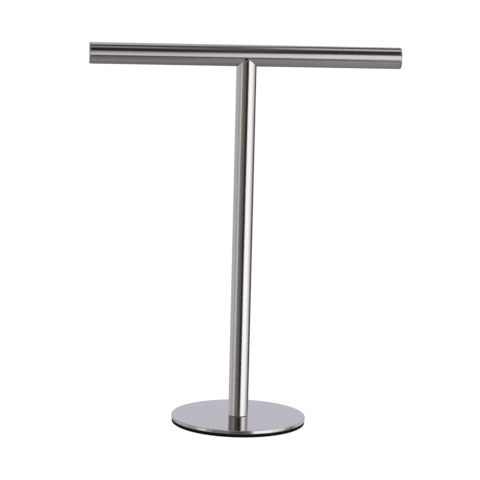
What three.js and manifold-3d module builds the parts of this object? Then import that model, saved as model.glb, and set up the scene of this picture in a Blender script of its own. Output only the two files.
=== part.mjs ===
// A T-bar stand for a counter: a round crossbar lies in the coped top of a round post, and one
// tie rod inside the post clamps crossbar, post and round base together from underneath.
// Millimetres, +Z up, crossbar along X. The origin is on the table, on the post's axis.
import * as THREE from "three";
import { mergeVertices } from "three/addons/utils/BufferGeometryUtils.js";
import Module from "manifold-3d";

// Driving dimensions
const barLength = 296;
const barDiameter = 20.5;
const barAxisHeight = 354.75;
const postDiameter = 19.3;
const tubeWall = 1;
const plateDiameter = 130;
const plateThickness = 3.2;
const padDiameter = 129;
const padThickness = 3.4;
const rodDiameter = 5;
const threadPitch = 0.8;

// Room between pieces that touch
const seatGap = 0.1;
const boreGap = 0.1;
const footGap = 0.3;
const copeGap = 0.25;

// The two tips of the post's cope: how much they are blunted, and the small notch in each
const copeTipTrim = 0.1;
const notchWidth = 2.8;
const notchDepth = 0.4;

// End caps
const capThickness = 1.3;
const capEdgeRadius = 0.9;
const capSpigotLength = 8;
const capSpigotWall = 1.5;

// Clamp hardware under the base plate, in its counterbore
const counterboreDepth = 1.9;
const counterboreDiameter = 20;
const padHoleDiameter = 24;
const clampWasher = { diameter: 18, thickness: 1.2 };
const lockWasher = { diameter: 10, thickness: 0.6, teeth: 8, toothDepth: 1.2 };
const nut = { acrossFlats: 8, thickness: 2.7, chamfer: 0.5 };

// Bushes and the saddle nut that hold the rod on the post's axis
const bushLength = 14;
const footSpigotRadius = 4.5;
const topSpigotRadius = 3.9;
const saddleNutLength = 24;
const saddleNutTop = 1;
const rodPastSaddleNut = 1.6;
const threadLength = 12;
const threadDepth = 0.49;

// Smoothness of the round pieces
const tubeSegments = 72;
const discSegments = 96;
const smallSegments = 36;
const rodSegments = 12;
const stepsPerThread = 3;

// Radii and levels that follow from the dimensions above
const barRadius = barDiameter / 2;
const barBore = barRadius - tubeWall;
const postRadius = postDiameter / 2;
const postBore = postRadius - tubeWall;
const rodRadius = rodDiameter / 2;
const rodHole = rodRadius + boreGap;
const plateBottom = padThickness;
const plateTop = plateBottom + plateThickness;
const counterboreCeiling = plateBottom + counterboreDepth;
const clampWasherTop = counterboreCeiling - seatGap;
const lockWasherTop = clampWasherTop - clampWasher.thickness - seatGap;
const nutTop = lockWasherTop - lockWasher.thickness - seatGap;
const rodBottom = nutTop - nut.thickness;
const rodTop = barAxisHeight - saddleNutTop + rodPastSaddleNut;

const finishes = {
  brushedSteel: { color: 0xb8b7b5, metalness: 1, roughness: 0.3 },
  zincSteel: { color: 0xa9adb0, metalness: 1, roughness: 0.42 },
  nylon: { color: 0x202022, metalness: 0, roughness: 0.6 },
  rubber: { color: 0x0c0c0d, metalness: 0, roughness: 0.85 },
};

const wasm = await Module();
wasm.setup();

// A solid for cutting, from a closed geometry
function toSolid(geometry) {
  const bare = geometry.clone();
  bare.deleteAttribute("normal");
  bare.deleteAttribute("uv");
  const merged = mergeVertices(bare, 1e-4);
  const vertProperties = new Float32Array(merged.attributes.position.array);
  const triVerts = new Uint32Array(merged.index.array);
  return new wasm.Manifold(new wasm.Mesh({ numProp: 3, vertProperties, triVerts }));
}

function toGeometry(solid) {
  const mesh = solid.getMesh();
  const geometry = new THREE.BufferGeometry();
  geometry.setAttribute("position", new THREE.BufferAttribute(mesh.vertProperties, 3));
  geometry.setIndex(new THREE.BufferAttribute(mesh.triVerts, 1));
  geometry.computeVertexNormals();
  return geometry;
}

// A turned piece about Z. Its profile of [radius, height] goes up outside and down inside.
function turned(profile, segments) {
  const points = profile.map(([radius, height]) => new THREE.Vector2(radius, height));
  const geometry = new THREE.LatheGeometry(points, segments);
  geometry.rotateX(Math.PI / 2);
  return geometry;
}

// A ring about Z from bottom to top, with its outer edges chamfered
function ring(inner, outer, bottom, top, chamfer, segments) {
  const profile = [
    [inner, bottom],
    [outer - chamfer, bottom],
    [outer, bottom + chamfer],
    [outer, top - chamfer],
    [outer - chamfer, top],
    [inner, top],
    [inner, bottom],
  ];
  return turned(profile, segments);
}

// A plain cylinder along X, to cut or shape another piece
function cylinderAlongX(radius, length, segments) {
  const geometry = new THREE.CylinderGeometry(radius, radius, length, segments);
  geometry.rotateZ(Math.PI / 2);
  return geometry;
}

function cylinderAlongZ(radius, length, segments) {
  const geometry = new THREE.CylinderGeometry(radius, radius, length, segments);
  geometry.rotateX(Math.PI / 2);
  return geometry;
}

function piece(name, geometry, finish) {
  const mesh = new THREE.Mesh(geometry, new THREE.MeshStandardMaterial(finish));
  mesh.name = name;
  return mesh;
}

// The crossbar's tube, with a hole in its underside for the rod and the top bush's spigot
function crossbarTube() {
  const length = barLength - 2 * (capThickness + seatGap);
  const tube = ring(barBore, barRadius, -length / 2, length / 2, 0.15, tubeSegments);
  tube.rotateY(Math.PI / 2);
  const drill = cylinderAlongZ(topSpigotRadius + boreGap, barRadius, smallSegments);
  drill.translate(0, 0, -barRadius);
  const mesh = piece(
    "crossbar_tube",
    toGeometry(toSolid(tube).subtract(toSolid(drill))),
    finishes.brushedSteel,
  );
  mesh.position.z = barAxisHeight;
  return mesh;
}

// A pressed plug: a disc with a rounded edge on a hollow spigot. Side is 1 for +X, -1 for -X.
function endCap(name, side) {
  const rimRadius = barRadius - 0.05;
  const spigotRadius = barBore - boreGap;
  const spigotBore = spigotRadius - capSpigotWall;
  const spigotEnd = -capThickness - capSpigotLength;
  const leadIn = 0.4;
  const profile = [
    [0, -capThickness],
    [spigotBore, -capThickness],
    [spigotBore, spigotEnd],
    [spigotRadius - leadIn, spigotEnd],
    [spigotRadius, spigotEnd + leadIn],
    [spigotRadius, -capThickness],
    [rimRadius, -capThickness],
  ];
  const edgeSteps = 4;
  for (let step = 0; step <= edgeSteps; step += 1) {
    const angle = (step / edgeSteps) * (Math.PI / 2);
    profile.push([
      rimRadius - capEdgeRadius * (1 - Math.cos(angle)),
      -capEdgeRadius * (1 - Math.sin(angle)),
    ]);
  }
  profile.push([0, 0]);
  const mesh = piece(name, turned(profile, tubeSegments), finishes.brushedSteel);
  mesh.rotation.y = side * (Math.PI / 2);
  mesh.position.set(side * (barLength / 2), 0, barAxisHeight);
  return mesh;
}

// The threaded block in the crossbar: the lower part of a round bar that fills the tube's bore
function saddleNut() {
  const radius = barBore - boreGap - 0.05;
  const roundBar = toSolid(cylinderAlongX(radius, saddleNutLength, tubeSegments));
  const upperPart = new THREE.BoxGeometry(saddleNutLength * 2, radius * 3, radius * 2);
  upperPart.translate(0, 0, radius - saddleNutTop);
  const tapping = cylinderAlongZ(rodHole, radius * 3, smallSegments);
  const block = roundBar.subtract(toSolid(upperPart)).subtract(toSolid(tapping));
  const mesh = piece("saddle_nut", toGeometry(block), finishes.zincSteel);
  mesh.position.z = barAxisHeight;
  return mesh;
}

// The post's tube. Its top is coped to the crossbar's radius, and the two tips that this leaves
// are blunted and notched. Its foot has a small chamfer.
function postTube() {
  const bottom = plateTop + footGap;
  const footChamfer = 0.3;
  const copeRadius = barRadius + copeGap;
  const tipBelowAxis = Math.sqrt(copeRadius ** 2 - postRadius ** 2);
  const top = barAxisHeight - tipBelowAxis - copeTipTrim;
  const profile = [
    [postBore, bottom],
    [postRadius - footChamfer, bottom],
    [postRadius, bottom + footChamfer],
    [postRadius, top],
    [postBore, top],
    [postBore, bottom],
  ];
  const cope = cylinderAlongX(copeRadius, postDiameter * 2, discSegments);
  cope.translate(0, 0, barAxisHeight);
  const notchRadius = notchWidth / 2;
  const notch = new THREE.CylinderGeometry(
    notchRadius,
    notchRadius,
    postDiameter * 2,
    smallSegments,
  );
  notch.scale(1, 1, notchDepth / notchRadius);
  notch.translate(0, 0, top);
  const tube = toSolid(turned(profile, tubeSegments))
    .subtract(toSolid(cope))
    .subtract(toSolid(notch));
  return piece("post_tube", toGeometry(tube), finishes.brushedSteel);
}

// The plug in the post's top. Its spigot stands in the crossbar's hole and centres the bar.
function topBush() {
  const shoulder = barAxisHeight - barRadius - footGap;
  const spigotTop = barAxisHeight - barBore - seatGap;
  const profile = [
    [rodHole, shoulder - bushLength],
    [postBore - boreGap, shoulder - bushLength],
    [postBore - boreGap, shoulder],
    [topSpigotRadius, shoulder],
    [topSpigotRadius, spigotTop],
    [rodHole, spigotTop],
    [rodHole, shoulder - bushLength],
  ];
  return piece("top_bush", turned(profile, smallSegments), finishes.nylon);
}

// The plug in the post's foot. Its spigot turns in the base plate's centre hole.
function footBush() {
  const shoulder = plateTop + seatGap;
  const spigotBottom = counterboreCeiling + seatGap;
  const profile = [
    [rodHole, spigotBottom],
    [footSpigotRadius, spigotBottom],
    [footSpigotRadius, shoulder],
    [postBore - boreGap, shoulder],
    [postBore - boreGap, shoulder + bushLength],
    [rodHole, shoulder + bushLength],
    [rodHole, spigotBottom],
  ];
  return piece("foot_bush", turned(profile, smallSegments), finishes.nylon);
}

// The radius of a helical thread at a height and an angle about the rod's axis
function threadRadius(height, angle) {
  const turns = height / threadPitch - angle / (2 * Math.PI);
  const phase = turns - Math.floor(turns);
  const crest = 1 - Math.abs(2 * phase - 1);
  return rodRadius - threadDepth * (1 - crest);
}

// The tie rod: a plain shank with a rolled thread at each end
function tieRod() {
  const endChamfer = 0.4;
  const threadStep = threadPitch / stepsPerThread;
  const threadSteps = Math.round((threadLength - endChamfer) / threadStep);
  const heights = [];
  for (let step = 0; step <= threadSteps; step += 1) {
    heights.push(rodBottom + endChamfer + step * threadStep);
  }
  for (let step = threadSteps; step >= 0; step -= 1) {
    heights.push(rodTop - endChamfer - step * threadStep);
  }
  const rootRadius = rodRadius - threadDepth;
  const profile = [
    [0, rodBottom],
    [rootRadius - 0.1, rodBottom],
    ...heights.map((height) => [rodRadius, height]),
    [rootRadius - 0.1, rodTop],
    [0, rodTop],
  ];
  const geometry = turned(profile, rodSegments);
  const position = geometry.attributes.position;
  for (let index = 0; index < position.count; index += 1) {
    const x = position.getX(index);
    const y = position.getY(index);
    if (Math.hypot(x, y) < rodRadius - 1e-3) continue;
    const angle = Math.atan2(y, x);
    const radius = threadRadius(position.getZ(index), angle);
    position.setXY(index, radius * Math.cos(angle), radius * Math.sin(angle));
  }
  return piece("tie_rod", geometry, finishes.zincSteel);
}

// The base: a round plate with a centre hole and a counterbore underneath for the hardware
function basePlate() {
  const hole = footSpigotRadius + boreGap;
  const recess = counterboreDiameter / 2;
  const rim = plateDiameter / 2;
  const chamfer = 0.4;
  const profile = [
    [hole, counterboreCeiling],
    [recess, counterboreCeiling],
    [recess, plateBottom],
    [rim - chamfer, plateBottom],
    [rim, plateBottom + chamfer],
    [rim, plateTop - chamfer],
    [rim - chamfer, plateTop],
    [hole, plateTop],
    [hole, counterboreCeiling],
  ];
  return piece("base_plate", turned(profile, discSegments), finishes.brushedSteel);
}

// The anti-slip pad under the plate, open in the middle so that a socket reaches the nut
function basePad() {
  const geometry = ring(
    padHoleDiameter / 2,
    padDiameter / 2,
    0,
    padThickness - seatGap,
    0.3,
    discSegments,
  );
  return piece("base_pad", geometry, finishes.rubber);
}

function flatWasher() {
  const bottom = clampWasherTop - clampWasher.thickness;
  const outer = clampWasher.diameter / 2;
  const geometry = ring(rodHole, outer, bottom, clampWasherTop, 0.15, smallSegments);
  return piece("clamp_washer", geometry, finishes.zincSteel);
}

// A lock washer with teeth round its hole
function toothedWasher() {
  const outline = new THREE.Shape();
  outline.absarc(0, 0, lockWasher.diameter / 2, 0, Math.PI * 2);
  const toothTip = rodHole + 0.05;
  const toothRoot = toothTip + lockWasher.toothDepth;
  const hole = new THREE.Path();
  for (let corner = 0; corner < lockWasher.teeth * 4; corner += 1) {
    const radius = corner % 4 < 2 ? toothTip : toothRoot;
    const angle = (corner / (lockWasher.teeth * 4)) * Math.PI * 2;
    const move = corner === 0 ? "moveTo" : "lineTo";
    hole[move](radius * Math.cos(angle), radius * Math.sin(angle));
  }
  hole.closePath();
  outline.holes.push(hole);
  const geometry = new THREE.ExtrudeGeometry(outline, {
    depth: lockWasher.thickness,
    bevelEnabled: false,
    curveSegments: smallSegments,
  });
  geometry.translate(0, 0, lockWasherTop - lockWasher.thickness);
  return piece("lock_washer", geometry, finishes.zincSteel);
}

// A thin hexagon nut: a six-sided bar cut to a turned shape with chamfers and a bore
function clampNut() {
  const cornerRadius = nut.acrossFlats / Math.sqrt(3);
  const bottom = nutTop - nut.thickness;
  const hexagon = new THREE.CylinderGeometry(cornerRadius, cornerRadius, nut.thickness * 2, 6);
  hexagon.rotateX(Math.PI / 2);
  hexagon.translate(0, 0, bottom + nut.thickness / 2);
  const turnedShape = ring(
    rodHole,
    cornerRadius + 0.05,
    bottom,
    nutTop,
    nut.chamfer,
    smallSegments,
  );
  const solid = toSolid(hexagon).intersect(toSolid(turnedShape));
  return piece("clamp_nut", toGeometry(solid), finishes.zincSteel);
}

// The base stays on the table
const base = new THREE.Group();
base.add(basePlate(), basePad());

// The mast turns on the base, about the post's axis, when it is pushed round hard
const mast = new THREE.Group();
mast.add(
  crossbarTube(),
  endCap("end_cap_right", 1),
  endCap("end_cap_left", -1),
  saddleNut(),
  postTube(),
  topBush(),
  footBush(),
  tieRod(),
  flatWasher(),
  toothedWasher(),
  clampNut(),
);

const stand = new THREE.Group();
stand.add(base, mast);

export default stand;
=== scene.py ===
"""The looks of a countertop T-bar stand: a brushed stainless crossbar in the coped top of a post,
on a brushed disc with a black rubber pad. Metres, +Z up, crossbar along X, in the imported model's
own frame. Every visible piece is built here from the boxes of the CAD nodes that it replaces."""
import math

import bmesh
import bpy
from mathutils import Matrix, Vector


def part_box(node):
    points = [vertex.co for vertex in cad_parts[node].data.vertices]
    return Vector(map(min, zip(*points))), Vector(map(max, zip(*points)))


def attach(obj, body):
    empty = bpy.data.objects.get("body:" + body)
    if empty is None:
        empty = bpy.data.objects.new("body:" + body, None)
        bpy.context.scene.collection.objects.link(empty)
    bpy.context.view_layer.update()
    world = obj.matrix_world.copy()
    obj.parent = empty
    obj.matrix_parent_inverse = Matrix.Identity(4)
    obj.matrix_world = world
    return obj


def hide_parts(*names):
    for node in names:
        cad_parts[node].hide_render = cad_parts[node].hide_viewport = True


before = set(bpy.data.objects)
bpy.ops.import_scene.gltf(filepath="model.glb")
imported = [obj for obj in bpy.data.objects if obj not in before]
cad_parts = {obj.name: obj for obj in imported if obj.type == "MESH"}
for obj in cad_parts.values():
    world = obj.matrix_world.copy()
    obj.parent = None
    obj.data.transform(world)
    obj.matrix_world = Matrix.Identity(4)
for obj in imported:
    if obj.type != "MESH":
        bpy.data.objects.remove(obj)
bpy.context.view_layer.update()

MM = 0.001
UP = Vector((0, 0, 1))
ON_AXIS = 1e-9

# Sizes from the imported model
bar_low, bar_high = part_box("crossbar_tube")
cap_low, cap_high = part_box("end_cap_right")
post_low, post_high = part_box("post_tube")
plate_low, plate_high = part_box("base_plate")
pad_low, pad_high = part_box("base_pad")
washer_low, washer_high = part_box("clamp_washer")
lock_low, lock_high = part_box("lock_washer")
nut_low, nut_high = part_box("clamp_nut")
rod_low, rod_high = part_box("tie_rod")
saddle_low, saddle_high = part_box("saddle_nut")

BAR_AXIS = (bar_low.z + bar_high.z) / 2
BAR_RADIUS = (bar_high.z - bar_low.z) / 2
POST_RADIUS = (post_high.x - post_low.x) / 2
PLATE_RADIUS = plate_high.x
PAD_RADIUS = pad_high.x
ROD_RADIUS = rod_high.y

# Details that the boxes don't give
GAP = 0.1 * MM  # between two pieces that fit each other
SKIN = 0.05 * MM  # how near a surface a face's centre counts as part of it
ROD_HOLE = ROD_RADIUS + GAP
TUBE_WALL = 1.0 * MM
BAR_BORE = BAR_RADIUS - TUBE_WALL
POST_BORE = POST_RADIUS - TUBE_WALL
COUNTERBORE = 10.0 * MM
PAD_HOLE = 12.0 * MM
FOOT_SPIGOT = 4.5 * MM
TOP_SPIGOT = 3.9 * MM
THREAD_PITCH = 0.8 * MM
THREAD_DEPTH = 0.49 * MM
THREAD_LENGTH = 12.0 * MM
RIM_TAPER = 0.24 * MM
BAR_OFF_CENTRE = -0.5 * MM  # the crossbar and its caps sit a little to the left
NOTCH_HALF = 1.4 * MM  # the notches in the two tips of the cope, turned a little about the post
NOTCH_DEPTH = 0.4 * MM
NOTCH_TURN = math.radians(6.5)
SHARP = math.radians(32)  # edges over this angle are shaded as sharp
FLAT = 0.999  # a face whose normal has at least this much along an axis faces along it


# ---------------------------------------------------------------- mesh building


def rounded(corners, steps=4):
    """An outline of (radius, height) points from corners (radius, height, fillet radius)."""
    outline = []
    for index, (radius, height, fillet) in enumerate(corners):
        here = Vector((radius, height))
        if not fillet:
            outline.append(here)
            continue
        before = (Vector(corners[index - 1][:2]) - here).normalized()
        after = (Vector(corners[(index + 1) % len(corners)][:2]) - here).normalized()
        half_angle = before.angle(after) / 2
        centre = here + (before + after).normalized() * (fillet / math.sin(half_angle))
        reach = fillet / math.tan(half_angle)
        first = here + before * reach - centre
        last = here + after * reach - centre
        start = math.atan2(first.y, first.x)
        turn = (math.atan2(last.y, last.x) - start + math.pi) % math.tau - math.pi
        for step in range(steps + 1):
            angle = start + turn * step / steps
            outline.append(centre + Vector((math.cos(angle), math.sin(angle))) * fillet)
    return outline


def turned(name, outline_at, segments, placing=Matrix.Identity(4)):
    """A mesh turned about Z. outline_at(angle) gives its outline at that angle, up outside and
    down inside. An outline that starts on the axis also ends there, any other is closed. The UV
    map "grain" has u along the outline and v round the axis, both in metres."""
    mesh = bmesh.new()
    grain = mesh.loops.layers.uv.new("grain")
    columns = []
    for column in range(segments):
        angle = math.tau * column / segments
        verts = []
        for index, (radius, height) in enumerate(outline_at(angle)):
            if radius < ON_AXIS and column:
                verts.append(columns[0][index])
                continue
            spot = Vector((radius * math.cos(angle), radius * math.sin(angle), height))
            verts.append(mesh.verts.new(spot))
        columns.append(verts)
    outline = outline_at(0)
    closed = outline[0][0] > ON_AXIS
    count = len(outline)
    along = [0.0]
    for index in range(count):
        step = Vector(outline[(index + 1) % count]) - Vector(outline[index])
        along.append(along[-1] + step.length)
    for column in range(segments):
        here, beyond = columns[column], columns[(column + 1) % segments]
        for index in range(count if closed else count - 1):
            after = (index + 1) % count
            ring = [
                (here[index], column, index),
                (beyond[index], column + 1, index),
                (beyond[after], column + 1, index + 1),
                (here[after], column, index + 1),
            ]
            corners = []
            for corner in ring:
                if all(corner[0] is not other[0] for other in corners):
                    corners.append(corner)
            if len(corners) < 3:
                continue
            face = mesh.faces.new([corner[0] for corner in corners])
            radius = max(outline[index][0], outline[after][0])
            for loop, (_, turn, place) in zip(face.loops, corners):
                loop[grain].uv = (along[place], math.tau * turn / segments * radius)
    return piece_from(name, mesh, placing)


def piece_from(name, mesh, placing=Matrix.Identity(4)):
    """The scene's object for a bmesh, placed, with smooth faces and sharp edges."""
    mesh.transform(placing)
    bmesh.ops.recalc_face_normals(mesh, faces=mesh.faces)
    for edge in mesh.edges:
        edge.smooth = len(edge.link_faces) == 2 and edge.calc_face_angle() < SHARP
    for face in mesh.faces:
        face.smooth = True
    data = bpy.data.meshes.new(name)
    mesh.to_mesh(data)
    mesh.free()
    piece = bpy.data.objects.new(name, data)
    bpy.context.scene.collection.objects.link(piece)
    return piece


def level_normals(piece):
    """Keeps a flat face flat up to its rounded edges."""
    modifier = piece.modifiers.new("level_normals", "WEIGHTED_NORMAL")
    modifier.keep_sharp = True
    modifier.weight = 100


def drill(piece, radius, low, high):
    """Cuts a vertical hole on the Z axis between two heights."""
    outline = [(0, low), (radius, low), (radius, high), (0, high)]
    bit = turned("drill_bit", lambda angle: outline, 48)
    cut = piece.modifiers.new("hole", "BOOLEAN")
    cut.object = bit
    cut.solver = "EXACT"
    depsgraph = bpy.context.evaluated_depsgraph_get()
    data = bpy.data.meshes.new_from_object(piece.evaluated_get(depsgraph))
    piece.modifiers.clear()
    piece.data = data
    bpy.data.objects.remove(bit)


def paint(piece, place, test):
    """Gives the material at a place in the list to each face that passes test(centre, normal)."""
    for face in piece.data.polygons:
        if test(face.center, face.normal):
            face.material_index = place


def install(piece, material, body, node):
    """Gives a finished piece its material or materials, the body it rides on and the CAD node it
    replaces. No piece shades another or the floor."""
    piece.data.materials.clear()
    for each in material if isinstance(material, list) else [material]:
        piece.data.materials.append(each)
    level_normals(piece)
    piece.visible_shadow = piece.visible_diffuse = False
    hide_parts(node)
    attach(piece, body)


# ---------------------------------------------------------------- materials


class Nodes:
    """A node tree, with short calls to add nodes to it and link them."""

    def __init__(self, tree):
        self.tree = tree

    def add(self, kind, values=None, output=0, **settings):
        """Adds a node, sets its settings, fills its inputs with values or links, and gives one of
        its outputs."""
        node = self.tree.nodes.new("ShaderNode" + kind)
        for setting, value in settings.items():
            setattr(node, setting, value)
        for key, value in (values or {}).items():
            if isinstance(value, bpy.types.NodeSocket):
                self.tree.links.new(value, node.inputs[key])
            else:
                node.inputs[key].default_value = value
        return node.outputs[output]

    def math(self, operation, first, second=0.0):
        return self.add("Math", {0: first, 1: second}, operation=operation)

    def split(self, vector):
        """The x, y and z of a vector."""
        return self.add("SeparateXYZ", {0: vector}).node.outputs

    def mix(self, factor, first, second):
        """From the first colour at a factor of 0 to the second one at 1."""
        return self.add("Mix", {0: factor, 6: first, 7: second}, 2, data_type="RGBA")

    def fit(self, value, low, high, seen=(0.3, 0.7)):
        """Runs from low to high while the value runs over what is seen, by default a noise."""
        return self.add("MapRange", {0: value, 1: seen[0], 2: seen[1], 3: low, 4: high})

    def over(self, value, start, end):
        """0 up to the start, 1 from the end on."""
        return self.fit(value, 0.0, 1.0, seen=(start, end))

    def under(self, value, start, end):
        """1 up to the start, 0 from the end on."""
        return self.fit(value, 1.0, 0.0, seen=(start, end))


class Shader(Nodes):
    """A material with a Principled shader, whose sockets take plain values at once."""

    def __init__(self, name, values=None):
        self.material = bpy.data.materials.new(name)
        self.material.use_nodes = True
        super().__init__(self.material.node_tree)
        self.surface = self.tree.nodes["Principled BSDF"]
        for socket, value in (values or {}).items():
            self.surface.inputs[socket].default_value = value

    def link(self, output, socket):
        self.tree.links.new(output, self.surface.inputs[socket])

    def place(self):
        return self.add("TexCoord", output="Object")

    def round_z(self, vector):
        """(distance from the Z axis, height, 0), so that a noise makes rings."""
        flat = self.add("VectorMath", {0: vector, 1: (1, 1, 0)}, operation="MULTIPLY")
        distance = self.add("VectorMath", {0: flat}, "Value", operation="LENGTH")
        return self.add("CombineXYZ", {0: distance, 1: self.split(vector)[2], 2: 0.0})

    def noise(self, vector, scale, detail=3.0, roughness=0.55):
        """A grey noise between about 0.3 and 0.7. Scale is (x, y, z), in features per metre."""
        stretched = self.add("Mapping", {"Vector": vector, "Scale": scale})
        values = {"Vector": stretched, "Scale": 1.0, "Detail": detail, "Roughness": roughness}
        return self.add("TexNoise", values)

    def bump(self, height, distance, strength=1.0):
        return self.add("Bump", {"Height": height, "Distance": distance, "Strength": strength})


STEEL = (0.64, 0.635, 0.63, 1.0)
STEEL_DULL = (0.56, 0.55, 0.545, 1.0)
ALONG, ACROSS = 9.0, 2600.0  # hairlines per metre, measured along them and across them


def brushed_steel(name, grain, roughness=0.14, anisotropy=0.4, turn=0.0, rings=False):
    """Stainless steel with hairlines. grain is the noise scale that draws them, long one way and
    fine the other. turn is the part of a circle from the "grain" map's u to the way in which the
    steel scatters. With rings, the hairlines run round the Z axis."""
    values = {"Metallic": 1.0, "Anisotropic": anisotropy, "Anisotropic Rotation": turn}
    shader = Shader(name, values)
    place = shader.place()
    if rings:
        place = shader.round_z(place)
    hairlines = shader.noise(place, grain, roughness=0.6)
    streaks = shader.noise(place, [size * 0.16 for size in grain], detail=2.0)
    cloud = shader.noise(shader.place(), (16, 16, 16), detail=2.0)
    lines = shader.math("ADD", shader.fit(hairlines, 0.0, 0.5), shader.fit(streaks, -0.1, 0.45))
    shader.link(shader.mix(lines, STEEL, STEEL_DULL), "Base Color")
    uneven = shader.math("ADD", shader.fit(hairlines, -0.03, 0.03), shader.fit(cloud, -0.01, 0.02))
    shader.link(shader.math("ADD", roughness, uneven), "Roughness")
    shader.link(shader.bump(hairlines, 0.0006 * MM), "Normal")
    shader.link(shader.add("Tangent", direction_type="UV_MAP", uv_map="grain"), "Tangent")
    return shader.material


def tube_steel(name, grain):
    """Hairlines along a tube: the steel scatters round the tube, across them."""
    return brushed_steel(name, grain, turn=0.25)


def raw_steel():
    """The unpolished bore of a tube."""
    shader = Shader("steel_raw", {"Metallic": 1.0})
    scale = shader.noise(shader.place(), (700, 700, 140), detail=4.0)
    shader.link(shader.mix(scale, (0.06, 0.058, 0.055, 1), (0.2, 0.19, 0.18, 1)), "Base Color")
    shader.link(shader.fit(scale, 0.5, 0.7), "Roughness")
    shader.link(shader.bump(scale, 0.02 * MM), "Normal")
    return shader.material


def painted_edge(name, shade):
    """A flat grey in place of steel on a small edge: painted shade on the caps, a painted
    highlight on the post's lips. shade is its middle grey.
    """
    shader = Shader(name, {"Roughness": 0.6, "Specular IOR Level": 0.2})
    scratches = shader.noise(shader.place(), (2600, 2600, 2600))
    dark, light = ([shade * part] * 3 + [1] for part in (0.7, 1.3))
    shader.link(shader.mix(scratches, dark, light), "Base Color")
    return shader.material


def zinc_plate():
    """The hidden hardware: a satin plating in small patches."""
    shader = Shader("zinc_plate", {"Metallic": 1.0})
    place = shader.place()
    patches = shader.noise(place, (420, 420, 420))
    grain = shader.noise(place, (3800, 3800, 3800), detail=2.0)
    light, dark = (0.72, 0.75, 0.78, 1), (0.52, 0.55, 0.6, 1)
    shader.link(shader.mix(shader.fit(patches, 0, 1), light, dark), "Base Color")
    shader.link(shader.fit(patches, 0.26, 0.44), "Roughness")
    shader.link(shader.bump(grain, 0.01 * MM), "Normal")
    return shader.material


def black_rubber():
    """The pad: a matt black with a fine grain and a trace of dust."""
    shader = Shader("black_rubber", {"Specular IOR Level": 0.12})
    place = shader.place()
    grain = shader.noise(place, (2600, 2600, 2600), detail=4.0)
    dust = shader.noise(place, (90, 90, 90), detail=5.0, roughness=0.7)
    black, grey = (0.002, 0.002, 0.0022, 1), (0.006, 0.006, 0.0064, 1)
    shader.link(shader.mix(shader.fit(dust, 0, 1, seen=(0.45, 0.75)), black, grey), "Base Color")
    shader.link(shader.fit(grain, 0.62, 0.85), "Roughness")
    shader.link(shader.bump(grain, 0.05 * MM, strength=0.6), "Normal")
    return shader.material


def black_nylon():
    """The bushes: black plastic with fine turning marks."""
    shader = Shader("black_nylon")
    marks = shader.noise(shader.place(), (300, 300, 4200))
    shader.link(shader.mix(marks, (0.012, 0.012, 0.013, 1), (0.03, 0.03, 0.032, 1)), "Base Color")
    shader.link(shader.fit(marks, 0.38, 0.56), "Roughness")
    shader.link(shader.bump(marks, 0.02 * MM), "Normal")
    return shader.material


bar_steel = tube_steel("steel_along_x", (ALONG, ACROSS, ACROSS))
post_steel = tube_steel("steel_along_z", (ACROSS, ACROSS, ALONG))
cap_steel = brushed_steel("steel_cap", (ACROSS, ACROSS * 0.7, ALONG), 0.16)
# Painted shade: a flat dark grey for the caps' rounded edges, in place of the steel.
edge_painted_shade = painted_edge("steel_edge_painted_shade", 0.09)
# Painted highlight: a flat mid grey for the post's lips, in place of the steel.
lip_painted_highlight = painted_edge("steel_lip_painted_highlight", 0.19)
top_steel = brushed_steel("steel_plate_top", (ALONG, ACROSS, ACROSS), 0.1, 0.5)
rim_steel = brushed_steel("steel_turned", (ACROSS, ACROSS, 1.0), 0.1, rings=True)
raw = raw_steel()
zinc = zinc_plate()
rubber = black_rubber()
nylon = black_nylon()


# ---------------------------------------------------------------- the pieces


def along_x(end):
    """Turns a piece from Z to X at the crossbar's axis, with its height 0 at x = end."""
    side = 1 if end >= 0 else -1
    return Matrix.Translation((end, 0, BAR_AXIS)) @ Matrix.Rotation(side * math.pi / 2, 4, "Y")


def crossbar_tube():
    """The crossbar, with extra rings at the middle for the hole in its underside, and black
    patches of painted shade behind the two notches, for the dark gaps there."""
    start, stop = bar_low.x + BAR_OFF_CENTRE, bar_high.x + BAR_OFF_CENTRE
    edge = 0.15 * MM
    patch = 9.0 * MM
    aside = POST_RADIUS * math.sin(NOTCH_TURN)
    past_post = 0.4 * MM
    corners = [
        (BAR_BORE, start, 0),
        (BAR_RADIUS, start, edge),
        (BAR_RADIUS, -patch, 0),
        (BAR_RADIUS, -aside - NOTCH_HALF, 0),
        (BAR_RADIUS, aside - NOTCH_HALF, 0),
        (BAR_RADIUS, NOTCH_HALF - aside, 0),
        (BAR_RADIUS, NOTCH_HALF + aside, 0),
        (BAR_RADIUS, patch, 0),
        (BAR_RADIUS, stop, edge),
        (BAR_BORE, stop, 0),
        (BAR_BORE, patch, 0),
        (BAR_BORE, -patch, 0),
    ]
    outline = rounded(corners)
    piece = turned("crossbar", lambda angle: outline, 144, along_x(0.0))
    drill(piece, TOP_SPIGOT + GAP, bar_low.z - MM, BAR_AXIS)
    install(piece, [bar_steel, raw, rubber], "mast", "crossbar_tube")

    def notch_shade(centre, normal):
        above_post = centre.z < BAR_AXIS and abs(centre.y) < POST_RADIUS + past_post
        return above_post and abs(across_notch(centre)) < NOTCH_HALF

    def in_bore(centre, normal):
        return math.hypot(centre.y, centre.z - BAR_AXIS) < BAR_BORE + SKIN

    # Painted shade: the bar's underside behind each notch, out to just past the post, takes the
    # pad's black rubber for the dark gap.
    paint(piece, 2, notch_shade)
    paint(piece, 1, in_bore)
    return piece


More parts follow.
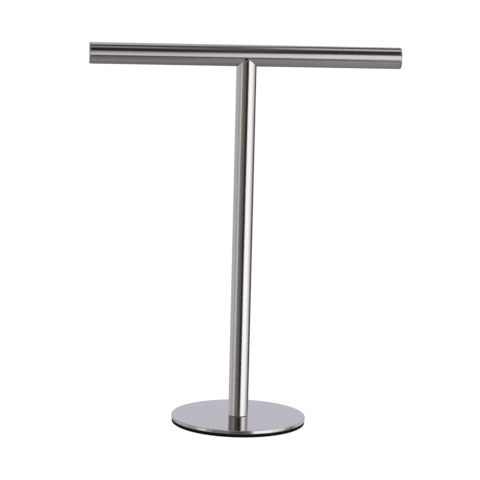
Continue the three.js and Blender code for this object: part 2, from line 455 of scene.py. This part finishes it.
def end_cap(side_name, end):
    """A pressed plug: a disc with a rounded edge, and a hollow spigot in the tube. The tube's
    finish runs on over its side, and its rounded edge is a thin dark ring of painted shade."""
    thickness = abs(end) - bar_high.x - GAP
    length = cap_high.x - cap_low.x
    undersize, rounding, wall = 0.05 * MM, 0.75 * MM, 1.5 * MM
    rim = BAR_RADIUS - undersize
    spigot = BAR_BORE - GAP
    bore = spigot - wall
    corners = [
        (0, -thickness, 0),
        (bore, -thickness, 0),
        (bore, -length, 0),
        (spigot, -length, 0.4 * MM),
        (spigot, -thickness, 0),
        (rim, -thickness, 0.15 * MM),
        (rim, 0, rounding),
        (0, 0, 0),
    ]
    outline = rounded(corners, 6)
    node = "end_cap_" + side_name
    placing = along_x(end + BAR_OFF_CENTRE)
    piece = turned("cap_" + side_name, lambda angle: outline, 96, placing)
    install(piece, [cap_steel, bar_steel, edge_painted_shade], "mast", node)
    # Painted shade: the outer part of each cap's rounded edge is a flat dark grey in place of
    # steel; its side keeps the tube's steel.
    paint(piece, 2, lambda centre, normal: abs(normal.x) < FLAT)
    paint(piece, 1, lambda centre, normal: abs(normal.x) < 0.5)
    return piece


def across_notch(spot):
    """How far a spot is from the plane through the post's axis and its two notches."""
    return spot.x * math.cos(NOTCH_TURN) - spot.y * math.sin(NOTCH_TURN)


def post_tube():
    """The post. Its top follows the crossbar, with a small notch at each tip of the cope, whose
    lip is filed down to a slope, with a flat grey on it for a painted highlight."""
    clearance = 0.02 * MM
    cope = BAR_RADIUS + clearance
    tip = BAR_AXIS - math.sqrt(cope**2 - POST_RADIUS**2)
    lip_height, lip_width, least_lip = 1.3 * MM, 0.45 * MM, 0.02

    def notch(radius, angle):
        """How deep the notch is there: 1 in its middle, falling round to 0 at its sides."""
        off_centre = min(1.0, abs(radius * math.cos(angle + NOTCH_TURN)) / NOTCH_HALF)
        return math.sqrt(1 - off_centre**2)

    def saddle(radius, angle):
        top = min(tip, BAR_AXIS - math.sqrt(cope**2 - (radius * math.sin(angle)) ** 2))
        return top - NOTCH_DEPTH * notch(radius, angle)

    def outline_at(angle):
        lip = max(least_lip, notch(POST_RADIUS, angle))
        top = saddle(POST_RADIUS, angle)
        corners = [
            (POST_BORE, post_low.z, 0),
            (POST_RADIUS, post_low.z, 0.25 * MM),
            (POST_RADIUS, top - lip_height * lip, 0),
            (POST_RADIUS - lip_width * lip, top, 0),
            (POST_BORE, saddle(POST_BORE, angle), 0),
        ]
        return rounded(corners, 3)

    piece = turned("post", outline_at, 192)
    install(piece, [post_steel, raw, lip_painted_highlight], "mast", "post_tube")

    def in_bore(centre, normal):
        return math.hypot(centre.x, centre.y) < POST_BORE + SKIN

    def on_lip(centre, normal):
        outside = math.hypot(centre.x, centre.y) > POST_RADIUS - lip_width - SKIN
        return outside and normal.z > 0.2 and abs(across_notch(centre)) < NOTCH_HALF

    paint(piece, 1, in_bore)
    # Painted highlight: the lip's slope is a flat mid grey in place of steel.
    paint(piece, 2, on_lip)
    return piece


def base_plate():
    """The disc: a top brushed along X, with a straight grain map, a polished rounded rim, and a
    counterbore underneath. The tubes don't mirror it."""
    hole = FOOT_SPIGOT + GAP
    bottom, top = plate_low.z, plate_high.z
    ceiling = washer_high.z + GAP
    corners = [
        (hole, ceiling, 0),
        (COUNTERBORE, ceiling, 0),
        (COUNTERBORE, bottom, 0.2 * MM),
        (PLATE_RADIUS - RIM_TAPER, bottom, 0.3 * MM),
        (PLATE_RADIUS, top, 0.55 * MM),
        (hole, top, 0),
    ]
    outline = rounded(corners, 6)
    piece = turned("base_disc", lambda angle: outline, 256)
    grain = piece.data.uv_layers["grain"]
    install(piece, [top_steel, rim_steel], "base", "base_plate")
    paint(piece, 1, lambda centre, normal: normal.z < FLAT)
    top_faces = [face for face in piece.data.polygons if face.material_index == 0]
    for loop in (loop for face in top_faces for loop in face.loop_indices):
        spot = piece.data.vertices[piece.data.loops[loop].vertex_index].co
        grain.data[loop].uv = (spot.y, spot.x)
    piece.visible_glossy = False
    return piece


def base_pad():
    """The anti-slip ring, with rounded edges and shallow rings of grooves underneath. The tubes
    don't mirror it."""
    bottom, top = pad_low.z, pad_high.z
    grooves, groove_depth = 7, 0.5 * MM
    floor_half, mouth_half = 0.6 * MM, 0.84 * MM
    corners = [(PAD_HOLE, bottom, 0.3 * MM)]
    for groove in range(grooves):
        middle = PAD_HOLE + (PAD_RADIUS - PAD_HOLE) * (groove + 1) / (grooves + 1)
        corners += [
            (middle - mouth_half, bottom, 0),
            (middle - floor_half, bottom + groove_depth, 0),
            (middle + floor_half, bottom + groove_depth, 0),
            (middle + mouth_half, bottom, 0),
        ]
    corners += [
        (PAD_RADIUS, bottom, 0.45 * MM),
        (PAD_RADIUS, top, 0.25 * MM),
        (PAD_HOLE, top, 0),
    ]
    outline = rounded(corners)
    piece = turned("rubber_pad", lambda angle: outline, 192)
    install(piece, rubber, "base", "base_pad")
    piece.visible_glossy = False
    return piece


def tie_rod():
    """The rod: a plain shank with a helical thread at each end."""
    end = 0.4 * MM
    step = THREAD_PITCH / 6
    steps = round((THREAD_LENGTH - end) / step)
    heights = [rod_low.z + end + step * index for index in range(steps + 1)]
    heights += [rod_high.z - end - step * index for index in range(steps, -1, -1)]
    root = ROD_RADIUS - THREAD_DEPTH
    tip = root - 0.1 * MM

    def radius(height, angle):
        """A triangular thread with its crest cut flat."""
        turns = height / THREAD_PITCH - angle / math.tau
        flank = 1 - abs(2 * (turns % 1.0) - 1)
        return root + THREAD_DEPTH * min(1.0, 1.25 * flank)

    def outline_at(angle):
        threads = [(radius(height, angle), height) for height in heights]
        start = [(0, rod_low.z), (tip, rod_low.z)]
        return start + threads + [(tip, rod_high.z), (0, rod_high.z)]

    piece = turned("threaded_rod", outline_at, 40)
    install(piece, zinc, "mast", "tie_rod")
    return piece


def clamp_washer():
    """The flat washer, rounded more outside than at its hole."""
    outer = washer_high.x
    edge, hole_edge = 0.2 * MM, 0.1 * MM
    corners = [
        (ROD_HOLE, washer_low.z, hole_edge),
        (outer, washer_low.z, edge),
        (outer, washer_high.z, edge),
        (ROD_HOLE, washer_high.z, hole_edge),
    ]
    outline = rounded(corners)
    piece = turned("flat_washer", lambda angle: outline, 96)
    install(piece, zinc, "mast", "clamp_washer")
    return piece


def lock_washer():
    """A washer with eight teeth round its hole, each twisted a little."""
    teeth, tooth_depth, most_twist = 8, 1.2 * MM, 0.35 * MM
    middle = (lock_low.z + lock_high.z) / 2
    half = (lock_high.z - lock_low.z) / 2 - 0.12 * MM
    tip = ROD_HOLE + 0.05 * MM
    root = tip + tooth_depth + 0.1 * MM

    def outline_at(angle):
        """A tooth fills the middle half of each eighth, with steep sides."""
        phase = (angle * teeth / math.tau) % 1.0
        rise = min(1.0, max(0.0, (0.25 - abs(phase - 0.5)) * 12 + 0.5))
        inner = tip + tooth_depth * (1 - rise)
        twist = (phase - 0.5) * most_twist * rise
        return [
            (inner, middle - half + twist),
            (root, middle - half),
            (lock_high.x, middle - half),
            (lock_high.x, middle + half),
            (root, middle + half),
            (inner, middle + half + twist),
        ]

    piece = turned("toothed_washer", outline_at, 192)
    install(piece, zinc, "mast", "lock_washer")
    return piece


def clamp_nut():
    """A thin hexagon nut: chamfered corners and a countersunk bore. Its box is narrower across
    its flats than across its corners."""
    half_flats = min(nut_high.x, nut_high.y)
    first_flat = 0.0 if nut_high.x < nut_high.y else math.pi / 6
    face_radius = half_flats * 0.97
    slope = math.tan(math.radians(28))
    sink = 0.35 * MM
    bottom, top = nut_low.z, nut_high.z

    def outline_at(angle):
        from_flat = (angle + first_flat + math.pi / 6) % (math.pi / 3) - math.pi / 6
        side = half_flats / math.cos(from_flat)
        drop = (side - face_radius) * slope
        return [
            (ROD_HOLE, bottom + sink),
            (ROD_HOLE + sink, bottom),
            (face_radius, bottom),
            (side, bottom + drop),
            (side, top - drop),
            (face_radius, top),
            (ROD_HOLE + sink, top),
            (ROD_HOLE, top - sink),
        ]

    piece = turned("hex_nut", outline_at, 96)
    install(piece, zinc, "mast", "clamp_nut")
    return piece


def bush(end, shoulder, spigot):
    """The bush at the top or foot of the post. It fills the bore as far as its shoulder, and a
    thinner spigot goes on from there."""
    low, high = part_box(end + "_bush")
    edge = 0.3 * MM
    body_end, spigot_end = (low.z, high.z) if end == "top" else (high.z, low.z)
    outside = [
        (high.x, body_end, edge),
        (high.x, shoulder, edge),
        (spigot, shoulder, 0),
        (spigot, spigot_end, edge / 3),
    ]
    if end == "foot":
        outside.reverse()
    outline = rounded([(ROD_HOLE, low.z, 0)] + outside + [(ROD_HOLE, high.z, 0)])
    piece = turned("nylon_" + end + "_bush", lambda angle: outline, 72)
    install(piece, nylon, "mast", end + "_bush")
    return piece


def saddle_nut():
    """The threaded block in the crossbar: a flat top on a half-round body, drilled through."""
    radius = BAR_AXIS - saddle_low.z
    flat = saddle_high.z - BAR_AXIS
    half_length = saddle_high.x
    edge = 0.5 * MM
    mesh = bmesh.new()
    rings = []
    steps = 48
    start = math.asin(flat / radius)
    sweep = math.pi + 2 * start
    for x, shrink in (
        (-half_length, edge),
        (-half_length + edge, 0.0),
        (half_length - edge, 0.0),
        (half_length, edge),
    ):
        ring = []
        for step in range(steps + 1):
            angle = start - sweep * step / steps
            y = (radius - shrink) * math.cos(angle)
            z = min((radius - shrink) * math.sin(angle), flat - shrink)
            ring.append(mesh.verts.new((x, y, BAR_AXIS + z)))
        rings.append(ring)
    for first, second in zip(rings, rings[1:]):
        for index in range(steps + 1):
            after = (index + 1) % (steps + 1)
            mesh.faces.new([first[index], second[index], second[after], first[after]])
    mesh.faces.new(rings[0])
    mesh.faces.new(list(reversed(rings[-1])))
    piece = piece_from("threaded_saddle", mesh)
    drill(piece, ROD_HOLE, saddle_low.z - MM, saddle_high.z + MM)
    install(piece, zinc, "mast", "saddle_nut")
    return piece


crossbar = crossbar_tube()
caps = [end_cap("right", cap_high.x), end_cap("left", -cap_high.x)]
post_tube()
disc = base_plate()
base_pad()
tie_rod()
clamp_washer()
lock_washer()
clamp_nut()
bush("top", bar_low.z - 0.3 * MM, TOP_SPIGOT)
bush("foot", plate_high.z + GAP, FOOT_SPIGOT)
saddle_nut()


# ---------------------------------------------------------------- the studio


# The camera, in metres, radians and millimetres of lens. Its height is over the disc.
CAMERA_DISTANCE = 1.8753
CAMERA_HEIGHT = 0.4551
CAMERA_SIDE = -0.0022
CAMERA_PITCH = 0.15
CAMERA_TURN = 0.1
CAMERA_ROLL = 0.0242
CAMERA_LENS = 148.3


def place_camera():
    """A long lens in front, a little above the crossbar, turned a little to the left of the stand
    and rolled as a hand-held shot is."""
    camera = bpy.data.objects.new("camera", bpy.data.cameras.new("camera"))
    camera.data.lens = CAMERA_LENS
    camera.data.clip_start, camera.data.clip_end = 0.05, 40.0
    turn = Matrix.Rotation(-CAMERA_TURN, 3, "Z")
    ahead = turn @ Vector((0, math.cos(CAMERA_PITCH), -math.sin(CAMERA_PITCH)))
    level_right = ahead.cross(UP).normalized()
    level_up = level_right.cross(ahead)
    cos_roll, sin_roll = math.cos(CAMERA_ROLL), math.sin(CAMERA_ROLL)
    right = level_right * cos_roll + level_up * sin_roll
    above = level_up * cos_roll - level_right * sin_roll
    spot = turn @ Vector((CAMERA_SIDE, -CAMERA_DISTANCE, 0))
    spot.z = plate_high.z + CAMERA_HEIGHT
    camera.matrix_world = Matrix.Translation(spot) @ Matrix(
        (right, above, -ahead)
    ).transposed().to_4x4()
    bpy.context.scene.collection.objects.link(camera)
    bpy.context.scene.camera = camera


def white_world():
    """An even white light all round, which metal doesn't mirror."""
    world = bpy.data.worlds.new("white_world")
    world.use_nodes = True
    backdrop = world.node_tree.nodes["Background"]
    backdrop.inputs["Color"].default_value = (1.0, 1.0, 1.0, 1.0)
    backdrop.inputs["Strength"].default_value = 1.15
    world.cycles_visibility.glossy = False
    bpy.context.scene.world = world
    bpy.context.scene.view_settings.view_transform = "Standard"


def pale_floor():
    """A matt floor just under the pad, so that the two faces don't coincide."""
    mesh = bmesh.new()
    bmesh.ops.create_circle(mesh, cap_ends=True, segments=96, radius=9.0)
    floor = piece_from("floor", mesh)
    shader = Shader("pale_floor", {"Roughness": 0.9, "Specular IOR Level": 0.0})
    fleck = shader.noise(shader.place(), (60, 60, 60), detail=4.0)
    shader.link(shader.mix(fleck, (0.9, 0.9, 0.9, 1), (0.92, 0.92, 0.92, 1)), "Base Color")
    floor.data.materials.append(shader.material)
    floor.location.z = -0.2 * MM
    floor.visible_glossy = False


# What the metal mirrors: bands of (start, end, brightness, tint). By azimuth, in degrees to the
# viewer's right with 0 at the front: FALLING below the horizon, for the post; RIM_LEVEL lower
# still, for the disc's rim; RISING above the horizon, for the disc and the post's image in it. By
# slope, in degrees up from the front, over the top at 90, to the back at 180: the three SLOPE
# lists, for the left, middle and right of the crossbar.
LILAC, COOL, WHITE = (1.0, 0.975, 1.03), (0.985, 0.962, 1.08), (1.0, 0.99, 1.0)
BEIGE, BROWN = (1.04, 1.0, 0.98), (1.1, 1.0, 0.9)
GREY, WARM, BLUE = (1.06, 0.98, 1.0), (1.07, 1.0, 0.97), (0.96, 0.94, 1.08)
FALLING = (
    (-180, -150, 0.69, COOL),
    (-150, -110, 0.64, LILAC),
    (-110, -93, 0.68, LILAC),
    (-93, -62, 0.55, LILAC),
    (-62, -49, 0.95, BEIGE),
    (-49, -26, 0.25, BROWN),
    (-26, -4, 0.16, BROWN),
    (-4, 25, 0.025, BROWN),
    (25, 72, 1.55, WHITE),
    (72, 84, 1.3, WHITE),
    (84, 102, 0.97, WHITE),
    (102, 115, 0.4, GREY),
    (115, 158, 0.09, GREY),
    (158, 180, 0.69, COOL),
)
RIM_LEVEL = (
    (-180, -136, 0.42, LILAC),
    (-136, -96, 0.56, LILAC),
    (-96, -75, 0.46, LILAC),
    (-75, -57, 0.88, BEIGE),
    (-57, -45, 0.45, GREY),
    (-45, -13, 0.25, GREY),
    (-13, 18, 0.11, GREY),
    (18, 27, 0.85, WHITE),
    (27, 62, 1.45, WHITE),
    (62, 74, 1.15, WHITE),
    (74, 88, 0.9, WHITE),
    (88, 101, 0.42, GREY),
    (101, 111, 0.22, GREY),
    (111, 120, 0.5, GREY),
    (120, 180, 0.75, COOL),
)
RISING = (
    (-180, -138, 0.705, COOL),
    (-138, -75, 0.25, GREY),
    (-75, -52, 0.36, GREY),
    (-52, -38, 0.18, BROWN),
    (-38, -5, 0.07, BROWN),
    (-5, 28, 0.03, BROWN),
    (28, 42, 0.75, BEIGE),
    (42, 68, 1.6, BEIGE),
    (68, 84, 1.1, BEIGE),
    (84, 150, 0.55, BEIGE),
    (150, 180, 0.705, COOL),
)
SLOPE_LEFT = (
    (-180, -125, 0.22, GREY),
    (-125, -92, 0.23, GREY),
    (-92, -66, 0.31, GREY),
    (-66, -45, 0.24, GREY),
    (-45, -27, 0.18, GREY),
    (-27, 64, 0.02, GREY),
    (64, 82, 0.36, LILAC),
    (82, 107, 0.06, BLUE),
    (107, 180, 0.68, COOL),
)
SLOPE_MIDDLE = (
    (-180, -120, 0.18, GREY),
    (-120, -100, 0.24, GREY),
    (-100, -84, 0.2, GREY),
    (-84, -46, 0.3, GREY),
    (-46, -34, 0.36, GREY),
    (-34, -27, 0.24, GREY),
    (-27, 46, 0.03, GREY),
    (46, 82, 0.12, LILAC),
    (82, 108, 0.08, BLUE),
    (108, 122, 0.3, COOL),
    (122, 180, 0.68, COOL),
)
SLOPE_RIGHT = (
    (-180, -110, 0.24, WARM),
    (-110, -54, 0.33, WARM),
    (-54, -42, 0.41, WARM),
    (-42, -27, 0.25, WARM),
    (-27, 82, 0.02, GREY),
    (82, 103, 0.85, LILAC),
    (103, 135, 0.1, BLUE),
    (135, 180, 0.6, COOL),
)
EDGE = 3.0  # degrees over which two bands blend
ROOM_TURN = 5.73  # degrees by which the bands by azimuth are turned to the left
BRIGHTEST = 2.0  # the brightness that a colour of 1 shows in the room
# Even colours of the room, as parts of BRIGHTEST
CEILING_LEFT, CEILING_RIGHT = (0.12, 0.118, 0.125, 1.0), (0.4, 0.395, 0.4, 1.0)
TABLE = (0.11, 0.105, 0.105, 1.0)
BACK_WALL, SIDE_WALL = (0.44, 0.42, 0.48, 1.0), (0.29, 0.285, 0.3, 1.0)


def band_ramp(shader, degrees, bands):
    """A colour for each band of degrees, blended over EDGE degrees between neighbours."""
    colour = shader.add("ValToRGB", {0: shader.over(degrees, -180.0, 180.0)})
    stops = colour.node.color_ramp.elements
    stops.remove(stops[-1])
    for start, end, brightness, tint in bands:
        for degree in (start + EDGE / 2, end - EDGE / 2):
            stop = stops.new((degree + 180) / 360)
            stop.color = [brightness / BRIGHTEST * part for part in tint] + [1.0]
    stops.remove(stops[0])
    return colour


def from_front(shader, part, y):
    """Degrees from the room's front: to the right when the part is x, upwards when it is z."""
    angle = shader.math("ARCTAN2", part, shader.math("MULTIPLY", y, -1.0))
    return shader.math("MULTIPLY", angle, math.degrees(1))


def walls(shader, x, y, rise):
    """The room's colour by azimuth and rise: the bands, plainer walls above them at the back and
    sides, and over and under them the ceiling and the table. x, y are of a unit vector, and rise
    is in degrees."""
    lean = shader.fit(rise, 0.0, -5.5, seen=(-10.5, -4.5))
    azimuth = shader.math("ADD", from_front(shader, x, y), ROOM_TURN)
    azimuth = shader.math("ADD", azimuth, lean)
    falling, rising, rim_level = (
        band_ramp(shader, azimuth, bands) for bands in (FALLING, RISING, RIM_LEVEL)
    )
    colour = shader.mix(shader.over(rise, -1.0, 1.5), falling, rising)
    colour = shader.mix(shader.under(rise, -19.5, -18.0), colour, rim_level)
    risen = shader.fit(rise, 0.0, 0.6, seen=(12.5, 16.0))
    behind = shader.math("MULTIPLY", shader.over(y, 0.0, 0.3), risen)
    colour = shader.mix(behind, colour, BACK_WALL)
    aside = shader.over(shader.math("ABSOLUTE", x), 0.3, 0.5)
    aside = shader.math("MULTIPLY", aside, shader.over(rise, 14.5, 16.5))
    colour = shader.mix(aside, colour, SIDE_WALL)
    ceiling = shader.mix(shader.over(x, -0.7, 0.7), CEILING_LEFT, CEILING_RIGHT)
    colour = shader.mix(shader.over(rise, 19.0, 25.0), colour, ceiling)
    return shader.mix(shader.under(rise, -33.0, -28.0), colour, TABLE)


def arch(shader, x, slope):
    """The colour of the strip that runs over and under the stand, by slope and from left to
    right."""
    left, middle, right = (
        band_ramp(shader, slope, bands) for bands in (SLOPE_LEFT, SLOPE_MIDDLE, SLOPE_RIGHT)
    )
    colour = shader.mix(shader.over(x, 0.045, 0.085), left, middle)
    return shader.mix(shader.over(x, 0.1, 0.15), colour, right)


def mirrored_room():
    """A sphere round the set that only reflections see: the dark studio with its soft lights."""
    mesh = bmesh.new()
    bmesh.ops.create_uvsphere(mesh, u_segments=48, v_segments=24, radius=4.0)
    room = piece_from("mirrored_room", mesh)
    room.location = (0, 0, BAR_AXIS)
    for sight in ("camera", "diffuse", "shadow", "transmission", "volume_scatter"):
        setattr(room, "visible_" + sight, False)
    shader = Shader("mirrored_room")
    shader.tree.nodes.remove(shader.surface)
    shader.material.cycles.emission_sampling = "NONE"
    x, y, z = shader.split(shader.add("VectorMath", {0: shader.place()}, operation="NORMALIZE"))
    rise = shader.math("MULTIPLY", shader.math("ARCSINE", z), math.degrees(1))
    slope = from_front(shader, z, y)
    steep = shader.over(shader.math("ABSOLUTE", rise), 22.0, 26.0)
    narrow = shader.under(shader.math("ABSOLUTE", x), 0.24, 0.34)
    in_arch = shader.math("MULTIPLY", steep, narrow)
    colour = shader.mix(in_arch, walls(shader, x, y, rise), arch(shader, x, slope))
    glow = shader.add("Emission", {"Color": colour, "Strength": BRIGHTEST})
    shader.tree.links.new(glow, shader.tree.nodes["Material Output"].inputs["Surface"])
    room.data.materials.append(shader.material)


def area_light(name, distance, width, low, high, strength=1.0):
    """An upright area light in front of the stand, between two heights. Strength is how bright
    its face is in a mirror."""
    data = bpy.data.lights.new(name, "AREA")
    data.shape = "RECTANGLE"
    data.size, data.size_y = width, high - low
    data.energy = math.pi * width * (high - low) * strength
    light = bpy.data.objects.new(name, data)
    light.location = (0, -distance, (high + low) / 2)
    light.rotation_euler = (math.pi / 2, 0, 0)
    light.visible_camera = False
    light.visible_diffuse = False
    bpy.context.scene.collection.objects.link(light)
    return light


def light_only(light, pieces):
    """Keeps a light off everything but some pieces."""
    lit = bpy.data.collections.new("lit_by_" + light.name)
    for piece in pieces:
        lit.objects.link(piece)
    light.light_linking.receiver_collection = lit


def bar_light():
    """A wide soft light in front of the crossbar, which fades out upwards and a little to the
    left. It lights only the crossbar and its caps, so that the post keeps its dark middle."""
    distance, width = 2.5, 4.0
    lowest, highest = (distance * math.tan(math.radians(slope)) for slope in (-15.5, 40))
    light = area_light("bar_light", distance, width, BAR_AXIS + lowest, BAR_AXIS + highest)
    light.data.color = (1.0, 0.985, 1.005)
    light.data.use_nodes = True
    nodes = Nodes(light.data.node_tree)

    def up(slope):
        """Where a line at that slope from the crossbar meets the light, from 0 to 1 upwards."""
        return (distance * math.tan(math.radians(slope)) - lowest) / (highest - lowest)

    across, upward, _ = nodes.split(nodes.add("NewGeometry", output="Parametric"))
    full = nodes.fit(across, up(-2), up(18), seen=(0.53, 0.61))
    dark = nodes.fit(across, up(30), up(36), seen=(0.53, 0.61))
    brightness = nodes.fit(across, 0.77, 1.05, seen=(0.44, 0.64))
    fading = nodes.fit(upward, brightness, 0.0, seen=(full, dark))
    nodes.tree.links.new(fading, nodes.tree.nodes["Emission"].inputs["Strength"])
    light_only(light, [crossbar] + caps)


def plate_light():
    """A soft light high in front, for the disc alone, so that it isn't black from behind."""
    light = area_light("plate_light", distance=2.5, width=3.0, low=0.74, high=2.4, strength=0.6)
    light_only(light, [disc])


place_camera()
white_world()
pale_floor()
mirrored_room()
bar_light()
plate_light()
